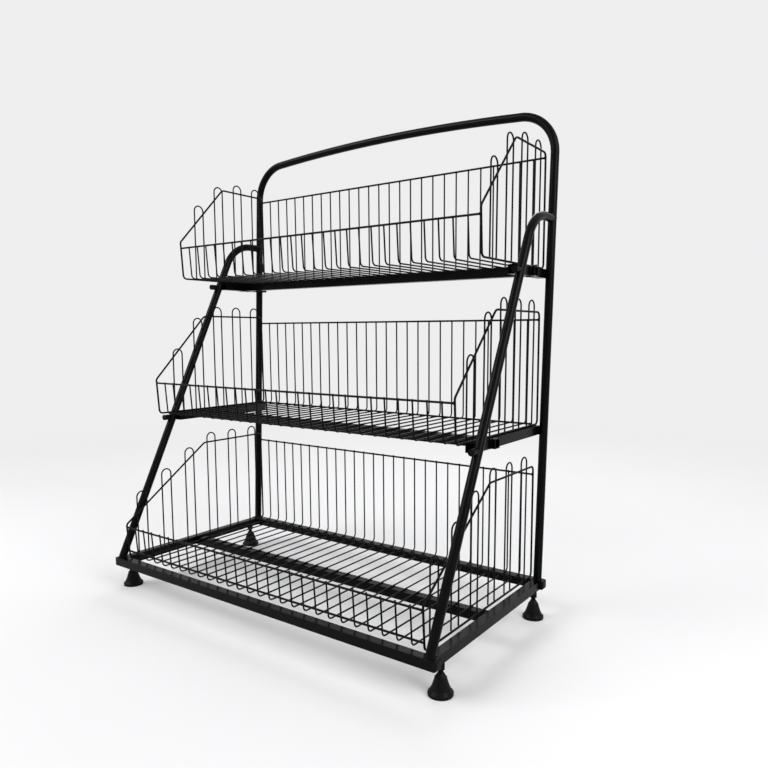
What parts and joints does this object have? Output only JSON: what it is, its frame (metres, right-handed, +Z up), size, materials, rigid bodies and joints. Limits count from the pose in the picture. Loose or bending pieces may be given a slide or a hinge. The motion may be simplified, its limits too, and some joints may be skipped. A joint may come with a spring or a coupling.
{
  "type": "tiered wire basket display stand",
  "caption": "Free-standing display stand: a leaning bent-tube frame on a rail base with levelling feet carries stepped tiers of open wire baskets with low fronts.",
  "frame": {"origin": "on the floor, in the middle of the footprint's bounding box", "axes": "+X to the right across the stand as seen from the front, +Y from front to back, +Z up. The baskets face -Y."},
  "size_m": [0.975, 0.5245, 1.147],
  "materials": {
    "tube_paint": "satin",
    "wire_coat": "satin",
    "black_plastic": "matte",
    "fastener": "satin"
  },
  "bodies": {
    "root": {"upright_left": "tube_paint", "upright_right": "tube_paint", "top_corner_left": "tube_paint", "top_corner_right": "tube_paint", "top_rail": "tube_paint", "side_tube_left": "tube_paint", "side_tube_right": "tube_paint", "rail_front": "tube_paint", "rail_rear": "tube_paint", "rail_left": "tube_paint", "rail_right": "tube_paint", "rail_middle": "tube_paint", "mid_cross_bar": "tube_paint", "mid_side_bar_left": "tube_paint", "mid_side_bar_right": "tube_paint", "top_cross_bar": "tube_paint", "top_side_bar_left": "tube_paint", "top_side_bar_right": "tube_paint", "low_floor_wires": "wire_coat", "low_back_wires": "wire_coat", "low_front_wires": "wire_coat", "low_back_rim": "wire_coat", "low_front_rim": "wire_coat", "low_rear_wire": "wire_coat", "low_side_frame_left": "wire_coat", "low_side_frame_right": "wire_coat", "low_loops_left": "wire_coat", "low_loops_right": "wire_coat", "mid_floor_wires": "wire_coat", "mid_back_wires": "wire_coat", "mid_front_wires": "wire_coat", "mid_back_rim": "wire_coat", "mid_front_rim": "wire_coat", "mid_rear_wire": "wire_coat", "mid_side_frame_left": "wire_coat", "mid_side_frame_right": "wire_coat", "mid_loops_left": "wire_coat", "mid_loops_right": "wire_coat", "top_floor_wires": "wire_coat", "top_back_wires": "wire_coat", "top_front_wires": "wire_coat", "top_back_rim": "wire_coat", "top_front_rim": "wire_coat", "top_rear_wire": "wire_coat", "top_side_frame_left": "wire_coat", "top_side_frame_right": "wire_coat", "top_loops_left": "wire_coat", "top_loops_right": "wire_coat", "low_front_wire": "wire_coat", "caps_front": "black_plastic", "caps_rear": "black_plastic", "foot_front_left": "black_plastic", "foot_front_right": "black_plastic", "foot_rear_left": "black_plastic", "foot_rear_right": "black_plastic", "studs_front": "fastener", "studs_rear": "fastener", "mid_bolts": "fastener", "top_bolts": "fastener"}
  },
  "joints": []
}
